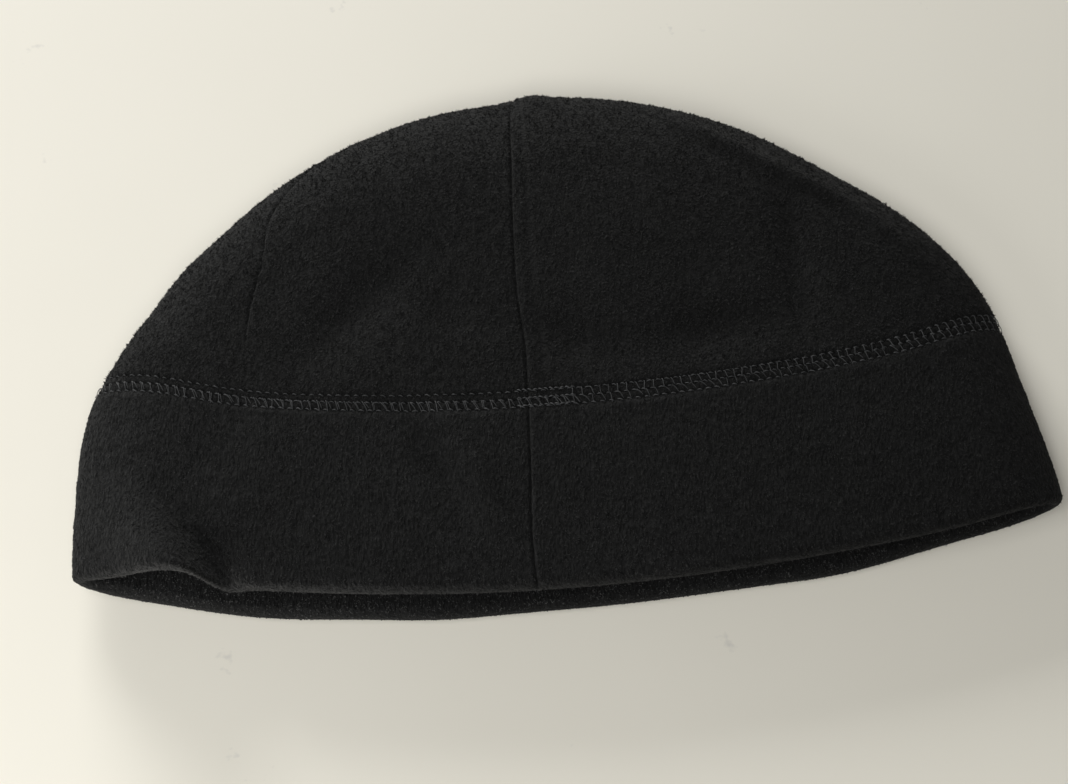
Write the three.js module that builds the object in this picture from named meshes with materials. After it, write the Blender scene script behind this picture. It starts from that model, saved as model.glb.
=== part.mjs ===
// A fleece skull cap (beanie), lying flat on its front with the centre back seam up.
// Millimetres, +Z up, +X across the opening, +Y from the opening to the top of the crown.
// The origin is on the supporting surface, under the middle of the cap's outline.
import * as THREE from 'three';
import { ParametricGeometry } from 'three/addons/geometries/ParametricGeometry.js';
import { mergeVertices } from 'three/addons/utils/BufferGeometryUtils.js';

// The outline of the cap as it lies.
const rimWidth = 290;         // across the opening, side fold to side fold
const joinNarrowing = 6;      // each end of the join lies this much nearer the middle than the rim's
const bandHeight = 59;        // rim fold to join
const domeHeight = 98;        // ends of the join to the top fold
const rimBow = 17;            // the middle of the rim and of the join lies this far before their ends
const domeTaper = 0.2;        // how much narrower than an ellipse the outline is at its top
const lyingHeight = 22;       // supporting surface to the upper layer
const edgeRoll = 24;          // how far in from a fold the layers start to curve together
const apexRoll = 26;          // how far the apex has rolled past the top fold, onto the under layer
const seamTurn = -6.5;        // degrees that the back seam lies round from the middle of the upper layer

// The wave in the upper rim near its left end.
const liftHeight = 9;         // how far the wave rises
const liftPlace = -117;       // its middle, across the cap
const liftWidth = 17;         // its half width
const liftLength = 34;        // how far it runs up the band

// The cloth.
const fleece = 2;             // one layer of fleece
const bandSlot = 1.4;         // between the two layers of the folded band, where its own seam lies
const joinAllowance = 6;      // the band's edge, turned up inside the crown
const touchGap = 0.3;         // clearance where two pieces touch
const curveGap = 0.5;         // the same where both pieces follow the curve of a fold

// The stitching.
const coverWidth = 5.5;       // three needle rows of the coverstitch, outer to outer
const coverThick = 0.6;       // threads of the coverstitch on the outside
const coverSunk = 0.1;        // how far their tops lie under the face of the cloth
const coverSlope = 1.2;       // how gently the cloth comes up again beside the stitches
const looperThick = 0.5;      // threads of the coverstitch on the inside
const overlockThick = 1.4;    // overlock threads over a pressed seam allowance
const overlockWidth = 3.6;    // their width on a back seam or a dart
const edgingWidth = 1.2;      // overlock threads over the edge of the join allowance
const bandThreadWidth = 3.2;  // seam threads inside the folded band
const dartStart = 24;         // from the join to the point of a dart
const apexClear = 7;          // from the apex to the end of a seam's threads
const dartPlaces = [51.5, 116, 180, -116, -51.5]; // degrees round the cap from the back seam

// The care label.
const labelWidth = 20;
const labelLength = 30;
const labelThick = 0.6;

// Steps of the faceted surfaces.
const stepsAround = 72;
const stepsUpCrown = 18;
const stepsUpBand = 3;
const stepsRoundRim = 6;
const stepCrowding = 12;      // degrees that steps are drawn towards the side folds

const degrees = Math.PI / 180;
const halfHeight = lyingHeight / 2;
const halfRim = rimWidth / 2;
const halfJoin = halfRim - joinNarrowing;
const bandThick = 2 * fleece + bandSlot;
const coverFrom = bandHeight - coverWidth / 2;
const coverTo = bandHeight + coverWidth / 2;
const outlineMiddle = (bandHeight + domeHeight - rimBow) / 2;
const apexTilt = (apexRoll / (domeHeight + rimBow)) * 90 * degrees;

// The rows of the crown's surface, from near the join (about 0.1) to the apex (1).
const lowestClimb = 0.1;
const crownClimbs = [...Array(stepsUpCrown + 1).keys()].map(
  (i) => lowestClimb + (i / stepsUpCrown) * (1 - lowestClimb));

// How far out from the middle, and how high, a layer lies a given share (0 to 1) of the way from
// the middle to the fold: flat, then rolling down a quarter of an ellipse.
function layerProfile(share, reach, roll, height) {
  const flat = reach - roll;
  const arc = (Math.PI / 4) * (roll + height) * 1.02;
  const way = share * (flat + arc);
  if (way <= flat) return { out: way, up: height };
  const turn = ((way - flat) / arc) * (Math.PI / 2);
  return { out: flat + roll * Math.sin(turn), up: height * Math.cos(turn) };
}

// Puts a place on a layer (x, y and signed height over the mid plane) in the cap's own frame,
// with the wave of the upper rim added.
function place(x, y, up, height, target) {
  const across = (x - liftPlace) / liftWidth;
  const along = (y + rimBow / 3) / liftLength;
  const wave = liftHeight * Math.exp(-across * across - along * along);
  const upper = 0.5 + 0.5 * (up / height);
  return target.set(x, y - outlineMiddle, halfHeight + up + wave * upper);
}

// A point of the band: angle round the cap in radians (0 is the middle of the upper layer),
// distance from the rim, and depth under the outer face.
function bandPoint(angle, fromRim, depth, target) {
  const round = Math.atan2(Math.sin(angle), Math.cos(angle));
  const side = Math.sign(round);
  const share = Math.abs(round) / (Math.PI / 2);
  const layer = share > 1 ? -1 : 1;
  const narrowing = joinNarrowing * Math.pow(fromRim / bandHeight, 2);
  const reach = halfRim - narrowing - depth;
  const height = halfHeight - depth;
  const { out, up } = layerProfile(share > 1 ? 2 - share : share, reach, edgeRoll - depth, height);
  const y = fromRim - rimBow * (1 - Math.pow(out / reach, 2));
  return place(side * out, y, layer * up, height, target);
}

// A point of the crown. climb runs from 0 at the join to 1 at the apex along a meridian, which
// is a great circle of the ball that the flattened dome is drawn out from.
function crownPoint(angle, climb, depth, target) {
  const foot = new THREE.Vector3(Math.sin(angle), 0, Math.cos(angle));
  const apex = new THREE.Vector3(0, Math.cos(apexTilt), -Math.sin(apexTilt));
  const span = foot.angleTo(apex);
  const heading = foot.multiplyScalar(Math.sin((1 - climb) * span));
  heading.addScaledVector(apex, Math.sin(climb * span)).normalize();
  const fromTop = Math.acos(THREE.MathUtils.clamp(heading.z, -1, 1)) / (Math.PI / 2);
  const bearing = Math.atan2(heading.x, Math.max(heading.y, 0));
  const wide = halfJoin - depth;
  const tall = domeHeight - depth;
  const reach = tall + (wide - tall) * Math.pow(Math.sin(bearing), 2);
  const layer = fromTop > 1 ? -1 : 1;
  const height = halfHeight - depth;
  const share = fromTop > 1 ? 2 - fromTop : fromTop;
  const { out, up } = layerProfile(share, reach, edgeRoll - depth, height);
  const across = (out / reach) * Math.sin(bearing);
  const along = (out / reach) * Math.cos(bearing);
  const x = wide * (1 - domeTaper * along) * across;
  const y = bandHeight + tall * along - rimBow * (1 - across * across - along * along);
  return place(x, y, layer * up, height, target);
}

// The length of the crown's meridian at an angle, near enough to place what is close to the join.
function meridianLength(angle) {
  const span = Math.acos(-Math.cos(angle) * Math.sin(apexTilt));
  const pace = (2 / Math.PI) * Math.pow(Math.cos(angle), 2) + Math.pow(Math.sin(angle), 2);
  return span * pace * domeHeight;
}

// A point of the cap at a distance from the rim: on the band, or on the crown past the join.
function capPoint(angle, fromRim, depth, target) {
  if (fromRim <= bandHeight) return bandPoint(angle, fromRim, depth, target);
  return crownPoint(angle, (fromRim - bandHeight) / meridianLength(angle), depth, target);
}

// The angle of a step round the cap. Steps are closer together at the side folds.
function stepAngle(share) {
  const even = share * 2 * Math.PI;
  return even + stepCrowding * degrees * Math.sin(2 * even);
}

// A closed solid from a parametric surface that meets itself. Corners at one place are joined,
// faces that shrink to nothing are left out, and the rest are turned to face outwards.
function solidFrom(surface, around, along) {
  const sheet = new ParametricGeometry(surface, around, along);
  sheet.deleteAttribute('normal');
  sheet.deleteAttribute('uv');
  const joined = mergeVertices(sheet, 1e-4);
  const corners = joined.getAttribute('position');
  const faces = [];
  const point = [new THREE.Vector3(), new THREE.Vector3(), new THREE.Vector3()];
  let volume = 0;
  for (let i = 0; i < joined.index.count; i += 3) {
    const face = [0, 1, 2].map((k) => joined.index.getX(i + k));
    if (new Set(face).size < 3) continue;
    face.forEach((corner, k) => point[k].fromBufferAttribute(corners, corner));
    volume += point[0].dot(point[1].cross(point[2]));
    faces.push(face);
  }
  if (volume < 0) faces.forEach((face) => face.reverse());
  joined.setIndex(faces.flat());
  joined.computeVertexNormals();
  return joined;
}

// A ring round the whole cap, with a closed outline given as [distance from the rim, depth].
function ring(outline) {
  const closed = [...outline, outline[0]];
  const surface = (u, v, target) => {
    const [fromRim, depth] = closed[Math.round(v * outline.length)];
    capPoint(stepAngle(u % 1), fromRim, depth, target);
  };
  return solidFrom(surface, stepsAround, outline.length);
}

// A flat strip that follows a path of [angle, position] pairs on the cap, with its two faces at
// the given depths. locate is bandPoint or crownPoint, and position is what that one takes.
function strip(locate, path, width, topDepth, underDepth) {
  const centre = new THREE.Vector3();
  const beside = new THREE.Vector3();
  const corners = [[-1, topDepth], [1, topDepth], [1, underDepth], [-1, underDepth], [-1, topDepth]];
  const nudge = 0.5 * degrees;
  const surface = (u, v, target) => {
    const step = Math.round(v * (path.length + 1));
    const [angle, position] = path[THREE.MathUtils.clamp(step - 1, 0, path.length - 1)];
    const middle = (topDepth + underDepth) / 2;
    if (step === 0 || step === path.length + 1) {
      locate(angle, position, middle, target);
      return;
    }
    locate(angle, position, middle, centre);
    locate(angle + nudge, position, middle, beside);
    const perDegree = centre.distanceTo(beside) / nudge;
    const [side, depth] = corners[Math.round(u * 4)];
    locate(angle + (side * width) / 2 / perDegree, position, depth, target);
  };
  return solidFrom(surface, 4, path.length + 1);
}

// The crown: outer face from the apex down to the join, where the cloth is pressed in under the
// coverstitch, and back up along the inner face.
function crownGeometry() {
  const nearJoin = [touchGap / 2, coverWidth / 2 + touchGap, coverWidth / 2 + touchGap + coverSlope];
  const pressed = coverSunk + coverThick + touchGap;
  const rows = [...crownClimbs].reverse().map((climb) => ({ climb, depth: 0 }));
  rows.push({ above: nearJoin[2], depth: 0 });
  rows.push({ above: nearJoin[1], depth: pressed });
  rows.push({ above: nearJoin[0], depth: pressed });
  rows.push({ above: nearJoin[0], depth: fleece });
  rows.push({ above: nearJoin[2], depth: fleece });
  crownClimbs.forEach((climb) => rows.push({ climb, depth: fleece }));
  const surface = (u, v, target) => {
    const row = rows[Math.round(v * (rows.length - 1))];
    const angle = stepAngle(u % 1);
    const climb = row.climb ?? row.above / meridianLength(angle);
    crownPoint(angle, climb, row.depth, target);
  };
  return solidFrom(surface, stepsAround, rows.length - 1);
}

// The band: one strip of fleece folded lengthwise at the rim. Its outer layer ends at the join,
// pressed in under the coverstitch, and its inner layer runs on as the allowance of the join.
function bandGeometry() {
  const top = bandHeight - touchGap / 2;
  const pressedFrom = bandHeight - coverWidth / 2 - touchGap;
  const pressed = coverSunk + coverThick + touchGap;
  const nose = bandThick / 2;
  const outline = [[top, pressed], [pressedFrom, pressed], [pressedFrom - coverSlope, 0]];
  for (let i = 1; i < stepsUpBand; i += 1) {
    outline.push([pressedFrom - coverSlope - (i / stepsUpBand) * (pressedFrom - coverSlope - nose), 0]);
  }
  for (let i = 0; i <= stepsRoundRim; i += 1) {
    const turn = (i / stepsRoundRim) * Math.PI;
    outline.push([nose - nose * Math.sin(turn), nose - nose * Math.cos(turn)]);
  }
  for (let i = 1; i <= stepsUpBand; i += 1) {
    outline.push([nose + (i / stepsUpBand) * (coverFrom - nose), bandThick]);
  }
  outline.push([bandHeight, bandThick]);
  outline.push([coverTo, bandThick]);
  outline.push([bandHeight + joinAllowance, bandThick]);
  outline.push([bandHeight + joinAllowance, bandThick - fleece]);
  for (let i = 0; i < stepsUpBand; i += 1) {
    outline.push([bandHeight - (i / stepsUpBand) * (bandHeight - nose), bandThick - fleece]);
  }
  outline.push([nose, bandThick - fleece]);
  outline.push([nose, fleece]);
  for (let i = 1; i < stepsUpBand; i += 1) {
    outline.push([nose + (i / stepsUpBand) * (top - nose), fleece]);
  }
  outline.push([top, fleece]);
  return ring(outline);
}

// A flat ring of threads round the cap, between two depths, with a row at each given distance from
// the rim. A ring over the join has a row at the join, where the cloth bends.
function threadRing(distances, topDepth, underDepth) {
  const topRow = distances.map((fromRim) => [fromRim, topDepth]);
  const underRow = distances.map((fromRim) => [fromRim, underDepth]);
  return ring([...topRow, ...underRow.reverse()]);
}

// Overlock threads along a meridian of the crown, inside it.
function crownSeam(placeRound, startAbove) {
  const angle = (placeRound + seamTurn) * degrees;
  const length = meridianLength(angle);
  const start = startAbove / length;
  const end = 1 - apexClear / length;
  const between = crownClimbs.filter((climb) => climb > start && climb < end);
  const path = [start, ...between, end].map((climb) => [angle, climb]);
  return strip(crownPoint, path, overlockWidth, fleece + curveGap, fleece + curveGap + overlockThick);
}

// Seam threads of the band's own short seam, between its two layers.
function bandSeam() {
  const angle = seamTurn * degrees;
  const start = bandThick / 2 + touchGap * 2;
  const end = bandHeight - touchGap * 2;
  const path = [];
  for (let i = 0; i <= stepsUpBand * 2; i += 1) {
    path.push([angle, start + (i / (stepsUpBand * 2)) * (end - start)]);
  }
  return strip(bandPoint, path, bandThreadWidth, fleece + touchGap, fleece + bandSlot - touchGap);
}

// The label: a folded blank tab caught in the join behind the back seam, lying over its threads.
function labelGeometry() {
  const angle = seamTurn * degrees;
  const length = meridianLength(angle);
  const start = joinAllowance + touchGap + edgingWidth + touchGap;
  const depth = fleece + curveGap + overlockThick + touchGap;
  const path = [];
  for (let i = 0; i <= 3; i += 1) {
    path.push([angle, (start + (i / 3) * labelLength) / length]);
  }
  return strip(crownPoint, path, labelWidth, depth, depth + labelThick);
}

const finishes = {
  fleece: { color: 0x1d1e1e, roughness: 0.95, metalness: 0 },
  bandFleece: { color: 0x202121, roughness: 0.95, metalness: 0 },
  thread: { color: 0x2c2d2e, roughness: 0.6, metalness: 0 },
  label: { color: 0xd8d6d0, roughness: 0.7, metalness: 0 },
};

const group = new THREE.Group();

function addPiece(name, geometry, finish) {
  const mesh = new THREE.Mesh(geometry, new THREE.MeshStandardMaterial(finishes[finish]));
  mesh.name = name;
  group.add(mesh);
}

const dartNames = ['right_back', 'right_front', 'front', 'left_front', 'left_back'];
const coverRows = [coverFrom, bandHeight, coverTo];
const looperDepth = bandThick + touchGap;
const edgingFrom = bandHeight + joinAllowance + touchGap;
const seamStart = joinAllowance + edgingWidth + touchGap * 2;

addPiece('crown', crownGeometry(), 'fleece');
addPiece('band', bandGeometry(), 'bandFleece');
addPiece('coverstitch_needle_threads',
  threadRing(coverRows, coverSunk, coverSunk + coverThick), 'thread');
addPiece('coverstitch_looper_thread',
  threadRing(coverRows, looperDepth, looperDepth + looperThick), 'thread');
addPiece('join_overlock_thread',
  threadRing([edgingFrom, edgingFrom + edgingWidth], bandThick - fleece, bandThick), 'thread');
addPiece('back_seam_thread', crownSeam(0, seamStart), 'thread');
dartPlaces.forEach((placeRound, i) => {
  addPiece(`dart_thread_${dartNames[i]}`, crownSeam(placeRound, dartStart), 'thread');
});
addPiece('band_seam_thread', bandSeam(), 'thread');
addPiece('care_label', labelGeometry(), 'label');

export default group;
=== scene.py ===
"""A black fleece skull cap, lying flat on its front on a pale table top with its back seam up.

The file follows the cap as it is sewn: the folded band, the crown with its darts, the threads that
close them, the coverstitch over the join and the label. Shapes are worked out in millimetres in the
CAD frame and made into meshes in metres.
"""
import math

import bpy
import numpy as np
from mathutils import Matrix, Vector


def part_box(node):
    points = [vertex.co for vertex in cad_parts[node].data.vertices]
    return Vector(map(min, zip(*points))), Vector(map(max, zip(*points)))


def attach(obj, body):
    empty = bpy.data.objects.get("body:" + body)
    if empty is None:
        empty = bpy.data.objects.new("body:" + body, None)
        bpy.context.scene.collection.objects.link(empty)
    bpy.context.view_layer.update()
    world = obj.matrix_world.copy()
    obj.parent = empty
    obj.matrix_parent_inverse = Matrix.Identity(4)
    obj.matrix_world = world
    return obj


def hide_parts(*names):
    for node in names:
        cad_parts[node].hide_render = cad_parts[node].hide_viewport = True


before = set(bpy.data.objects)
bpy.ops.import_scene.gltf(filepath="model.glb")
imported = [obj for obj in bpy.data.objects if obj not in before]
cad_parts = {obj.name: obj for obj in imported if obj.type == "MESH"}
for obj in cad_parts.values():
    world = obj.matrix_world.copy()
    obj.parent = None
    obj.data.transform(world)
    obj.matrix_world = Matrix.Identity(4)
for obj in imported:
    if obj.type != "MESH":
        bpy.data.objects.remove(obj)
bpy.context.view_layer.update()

# ==================================================================================================
# The setting. A pale stone table top. Soft light comes from a window behind, a bright floor and wall at
# the left, the room in front and the sunlit stone. The view is from in front and above.
# ==================================================================================================
VIEW_HEIGHT = math.radians(62)      # how far above the table the view looks down from
VIEW_TURN = math.radians(-4.91)     # how far round from straight in front
VIEW_PLACE = Vector((-0.03282, -0.31338, 0.56353))
VIEW_LENS = 70


def new_object(name, data):
    """A new object in the scene, at the origin."""
    made = bpy.data.objects.new(name, data)
    bpy.context.scene.collection.objects.link(made)
    return made


camera = new_object("view_camera", bpy.data.cameras.new("view_camera"))
camera.data.lens = VIEW_LENS
camera.data.sensor_width = 36
camera.data.clip_start = 0.01
backwards = Vector((math.sin(VIEW_TURN) * math.cos(VIEW_HEIGHT),
                    -math.cos(VIEW_TURN) * math.cos(VIEW_HEIGHT), math.sin(VIEW_HEIGHT)))
rightwards = Vector((math.cos(VIEW_TURN), math.sin(VIEW_TURN), 0))
turned = Matrix((rightwards, backwards.cross(rightwards), backwards)).transposed()
camera.matrix_world = Matrix.Translation(VIEW_PLACE) @ turned.to_4x4()
bpy.context.scene.camera = camera
bpy.context.scene.view_settings.view_transform = "Standard"


def add_node(tree, kind, settings=None, **inputs):
    """A new node. Inputs are given by name or identifier, as a value or the socket they come from."""
    made = tree.nodes.new(kind)
    for key, value in (settings or {}).items():
        setattr(made, key, value)
    for key, value in inputs.items():
        slot = next(s for s in made.inputs if s.identifier == key or s.name.replace(" ", "_") == key)
        if isinstance(value, bpy.types.NodeSocket):
            tree.links.new(value, slot)
        else:
            slot.default_value = value
    return made


def combined(tree, operation, first, second, kind="ShaderNodeMath"):
    """What a sum or a product of two sockets comes to."""
    made = add_node(tree, kind, {"operation": operation})
    tree.links.new(first, made.inputs[0])
    tree.links.new(second, made.inputs[1])
    return made.outputs[0]


def new_material(name):
    """A material with nothing but its output, its tree, and the output's node."""
    material = bpy.data.materials.new(name)
    material.use_nodes = True
    tree = material.node_tree
    tree.nodes.clear()
    return material, tree, tree.nodes.new("ShaderNodeOutputMaterial")


def stone_finish():
    """Pale stone with faint clouds and a few small grey veins."""
    material, tree, output = new_material("pale_stone")
    at = add_node(tree, "ShaderNodeTexCoord").outputs["Object"]
    cloud = add_node(tree, "ShaderNodeTexNoise", Vector=at, Scale=9.0, Detail=3.0)
    vein = add_node(tree, "ShaderNodeTexNoise", Vector=at, Scale=26.0, Detail=5.0, Roughness=0.7)
    cut = add_node(tree, "ShaderNodeMapRange", Value=vein.outputs["Fac"], From_Min=0.66, From_Max=0.74)
    clouded = add_node(tree, "ShaderNodeMix", {"data_type": "RGBA"}, Factor_Float=cloud.outputs["Fac"],
                       A_Color=(0.80, 0.775, 0.70, 1), B_Color=(0.84, 0.815, 0.74, 1))
    veined = add_node(tree, "ShaderNodeMix", {"data_type": "RGBA"}, Factor_Float=cut.outputs["Result"],
                      A_Color=clouded.outputs[2], B_Color=(0.60, 0.59, 0.56, 1))
    shader = add_node(tree, "ShaderNodeBsdfPrincipled", Base_Color=veined.outputs[2], Roughness=0.6)
    shader.inputs["Specular IOR Level"].default_value = 0.25
    tree.links.new(shader.outputs[0], output.inputs["Surface"])
    return material


TABLE_HALF = 3.0
TABLE_DROP = 0.0004                 # the pressed pile reaches a little under the CAD's floor
corners = [(-TABLE_HALF, -TABLE_HALF, 0), (TABLE_HALF, -TABLE_HALF, 0),
           (TABLE_HALF, TABLE_HALF, 0), (-TABLE_HALF, TABLE_HALF, 0)]
table_mesh = bpy.data.meshes.new("table_top")
table_mesh.from_pydata(corners, [], [(0, 1, 2, 3)])
table_top = new_object("table_top", table_mesh)
table_top.location.z = -TABLE_DROP
table_mesh.materials.append(stone_finish())


def soft_light(name, place, size, power, colour, towards=(0.0, 0.0, 0.0)):
    """A square soft light, which isn't seen itself, turned towards the cap's middle or another place."""
    lamp = bpy.data.lights.new(name, "AREA")
    lamp.shape = "SQUARE"
    lamp.size = size
    lamp.energy = power
    lamp.color = colour
    made = new_object(name, lamp)
    made.location = place
    made.rotation_euler = (Vector(towards) - Vector(place)).to_track_quat("-Z", "Y").to_euler()
    made.visible_camera = False


soft_light("window", (-0.42, 1.22, 0.317), 0.60, 22.0, (1.0, 0.995, 0.97))
soft_light("bright_floor", (-0.570, -0.329, 0.239), 0.40, 2.3, (1.0, 0.985, 0.95))
soft_light("wall_above", (-0.390, -0.225, 0.779), 0.50, 1.7, (1.0, 0.99, 0.96))
soft_light("room", (-0.12, -0.83, 1.0), 0.60, 5.8, (1.0, 0.99, 0.96))
soft_light("sunny_table", (-0.17, -0.22, 0.0), 0.20, 2.0, (1.0, 0.97, 0.92), towards=(-0.17, -0.22, 1.0))
world = bpy.data.worlds.new("room_air")
bpy.context.scene.world = world
world.use_nodes = True
world.node_tree.nodes["Background"].inputs["Color"].default_value = (0.95, 0.95, 0.92, 1)
world.node_tree.nodes["Background"].inputs["Strength"].default_value = 0.07

# ==================================================================================================
# The band. One strip of fleece with its short ends sewn together, folded lengthwise at the rim, so
# that it is double and its edge is a soft fold. The shape in which the whole cap lies starts here:
# two layers that roll into each other at the side folds, with a wave in the upper rim at the left.
# ==================================================================================================
MM = 0.001
HALF_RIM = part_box("band")[1].x / MM          # middle to side fold, at the rim
RIM_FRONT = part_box("band")[0].y / MM         # the foremost point of the rim
BAND_HEIGHT = 59.0
RIM_BOW = 17.0                               # the rim's middle lies this far before its ends
JOIN_NARROWING = 6.0                         # how much less the half width is at the join
EDGE_ROLL = 24.0                             # how far in from the side fold the layers roll over
LYING_HEIGHT = 22.0
FLEECE = 2.0                                 # one layer
BAND_SLOT = 1.4                              # between the band's two layers
BAND_THICK = 2 * FLEECE + BAND_SLOT
JOIN_ALLOWANCE = 6.0
SEAM_TURN = math.radians(-6.5)               # the back seam lies this far round from the middle
HALF_HEIGHT = LYING_HEIGHT / 2
SAG = 3.5                                    # the upper layer's sag, at these distances from its middle
SAG_HALF_WIDTH = 150.0
SAG_HALF_LENGTH = 110.0
SAG_MIDDLE_Y = 5.0
QUARTER_ELLIPSE = 1.02                       # its length, against a quarter circle of its mean radius

# The soft dents and swells of the upper layer: middle (x, y), height, length, width, and the
# direction of their length in degrees from +X.
SWELLS = [
    (-58, 8, -2.2, 26, 9, 43),
    (-32, 5, -1.2, 13, 8, 110),
    (4, -8, -1.8, 15, 8, -35),
    (48, -9, -1.7, 22, 8, 8),
    (76, 14, -1.9, 24, 6, 88),
    (-27, -46, 1.1, 17, 3.5, -64),
    (-36, -50, -2.6, 17, 5, -64),
    (-103, -73, -1.8, 10, 3.2, 119),
    (-20, 50, 1.0, 30, 20, 10),
    (40, 35, 0.8, 26, 16, -30),
    (57, 62, 2.3, 15, 3.6, -38),
    (82, 45, 2.4, 17, 3.6, -37),
    (105, 24, 2.0, 16, 3.6, -52),
    (-104, -38, -1.1, 16, 9, 60),
]
# Where the cloth has been drawn as the cap was laid down: place (x, y), pull (x, y), reach, and the
# layer that it draws: 1 the upper one, -1 the under one, 0 both.
TUGS = [
    (-90, -74, 0.0, -3.0, 34, -1),
    (-42, -86, 0.0, -1.5, 22, -1),
    (78, -85, 0.0, -1.6, 24, -1),
    (-144, -55, -0.8, 0.0, 26, 0),
    (-141, -2, 1.5, 0.0, 9, 0),
    (-140, -74, 0.0, -0.6, 14, 0),
    (-128, -10, 0.0, 3.0, 26, 0),
    (-142, -27, -1.2, 0.0, 16, 0),
    (-126, 13, 3.8, 0.0, 20, 0),
    (-100, 44, 1.8, -1.0, 24, 0),
    (-84, 44, -2.0, 0.0, 12, 1),
    (-12, 84, 0.0, -1.2, 14, 0),
    (0, 84, 0.0, 1.9, 7, 0),
    (-9, -10, 1.3, 0.0, 14, 1),
    (-12, -75, -1.9, 0.0, 24, 1),
    (-10, -29, 0.0, -0.5, 60, 0),
    (0, -87, 0.0, -0.7, 60, -1),
    (92, 50, -1.5, -0.9, 24, 0),
    (140, -36, -2.2, 0.0, 26, 0),
    (132, -10, -1.6, 1.5, 22, 0),
    (112, -80, 0.0, 0.2, 24, -1),
    (112, -76, 0.0, -0.8, 30, 1),
]
WAVE_TOP = (-113.0, -81.0)                   # where the rim's wave is highest
WAVE_LEAN = math.radians(116)                # the direction in which the wave runs up the band
WAVE_HEIGHT = 10.5
WAVE_LENGTH = 27.0                           # how far up the band it has mostly faded
LEFT_FLANK = 12.5                            # the gentle side's width
RIGHT_FLANK = 8.4                            # the steep side's width
VALLEY_DEPTH = 1.9
VALLEY_RIGHT = 13.0                          # the valley's middle, from the ridge
VALLEY_WIDTH = 5.5


def side_roll(share, reach, roll, height):
    """How far out and how high a layer lies, a share (0 to 1) of the way from its middle to its fold."""
    flat = reach - roll
    arc = (math.pi / 4) * (roll + height) * QUARTER_ELLIPSE
    way = share * (flat + arc)
    turn = np.clip((way - flat) / arc, 0, 1) * (math.pi / 2)
    out = np.where(way <= flat, way, flat + roll * np.sin(turn))
    return out, np.where(way <= flat, height, height * np.cos(turn))


def swell(x, y):
    """The height of the soft dents and swells."""
    total = -SAG * ((x / SAG_HALF_WIDTH) ** 2 + ((y - SAG_MIDDLE_Y) / SAG_HALF_LENGTH) ** 2)
    for middle_x, middle_y, height, length, width, lean in SWELLS:
        c, s = math.cos(math.radians(lean)), math.sin(math.radians(lean))
        along = ((x - middle_x) * c + (y - middle_y) * s) / length
        across = ((y - middle_y) * c - (x - middle_x) * s) / width
        total = total + height * np.exp(-along ** 2 - across ** 2)
    return total


def wave(x, y):
    """The rim's wave: a ridge that leans up the band, and the valley to its right."""
    c, s = math.cos(WAVE_LEAN), math.sin(WAVE_LEAN)
    along = (x - WAVE_TOP[0]) * c + (y - WAVE_TOP[1]) * s
    right = (x - WAVE_TOP[0]) * s - (y - WAVE_TOP[1]) * c
    fade = np.exp(-(np.maximum(along, 0) / WAVE_LENGTH) ** 2)
    gentle = np.exp(-(right / LEFT_FLANK) ** 2)
    steep = np.exp(-(np.abs(right) / RIGHT_FLANK) ** 3)
    ridge = WAVE_HEIGHT * np.where(right > 0, steep, gentle)
    valley = -VALLEY_DEPTH * np.exp(-((right - VALLEY_RIGHT) / VALLEY_WIDTH) ** 2)
    return fade * (ridge + valley)


def lie(x, y, up, height):
    """Points of a layer in the CAD frame, from their height over the cap's mid plane."""
    upper = 0.5 + 0.5 * up / height
    y = y + RIM_FRONT + RIM_BOW
    z = HALF_HEIGHT + up + upper * (swell(x, y) + wave(x, y))
    pull_x, pull_y = 0, 0
    for place_x, place_y, draw_x, draw_y, reach, layer in TUGS:
        near = np.exp(-((x - place_x) ** 2 + (y - place_y) ** 2) / reach ** 2)
        if layer:
            near = near * (upper if layer > 0 else 1 - upper)
        pull_x, pull_y = pull_x + draw_x * near, pull_y + draw_y * near
    return np.stack(np.broadcast_arrays(x + pull_x, y + pull_y, z), -1)


def wrapped(angle):
    """An angle between half a turn back and half a turn on."""
    return np.arctan2(np.sin(angle), np.cos(angle))


def band_point(angle, from_rim, depth):
    """Points of the band: angle round the cap, distance from the rim, depth under the outer face."""
    angle, from_rim, depth = np.broadcast_arrays(wrapped(angle), from_rim, depth)
    share = np.abs(angle) / (math.pi / 2)
    layer = np.where(share > 1, -1.0, 1.0)
    reach = HALF_RIM - JOIN_NARROWING * (from_rim / BAND_HEIGHT) ** 2 - depth
    height = HALF_HEIGHT - depth
    out, up = side_roll(np.where(share > 1, 2 - share, share), reach, EDGE_ROLL - depth, height)
    y = from_rim - RIM_BOW * (1 - (out / reach) ** 2)
    return lie(np.sign(angle) * out, y, layer * up, height)


# The crown's own shape is needed here too, for the part of the band that is turned up inside it.
HALF_JOIN = HALF_RIM - JOIN_NARROWING
DOME_HEIGHT = 98.0
DOME_TAPER = 0.2
APEX_ROLL = 26.0
APEX_TILT = (APEX_ROLL / (DOME_HEIGHT + RIM_BOW)) * (math.pi / 2)


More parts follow.
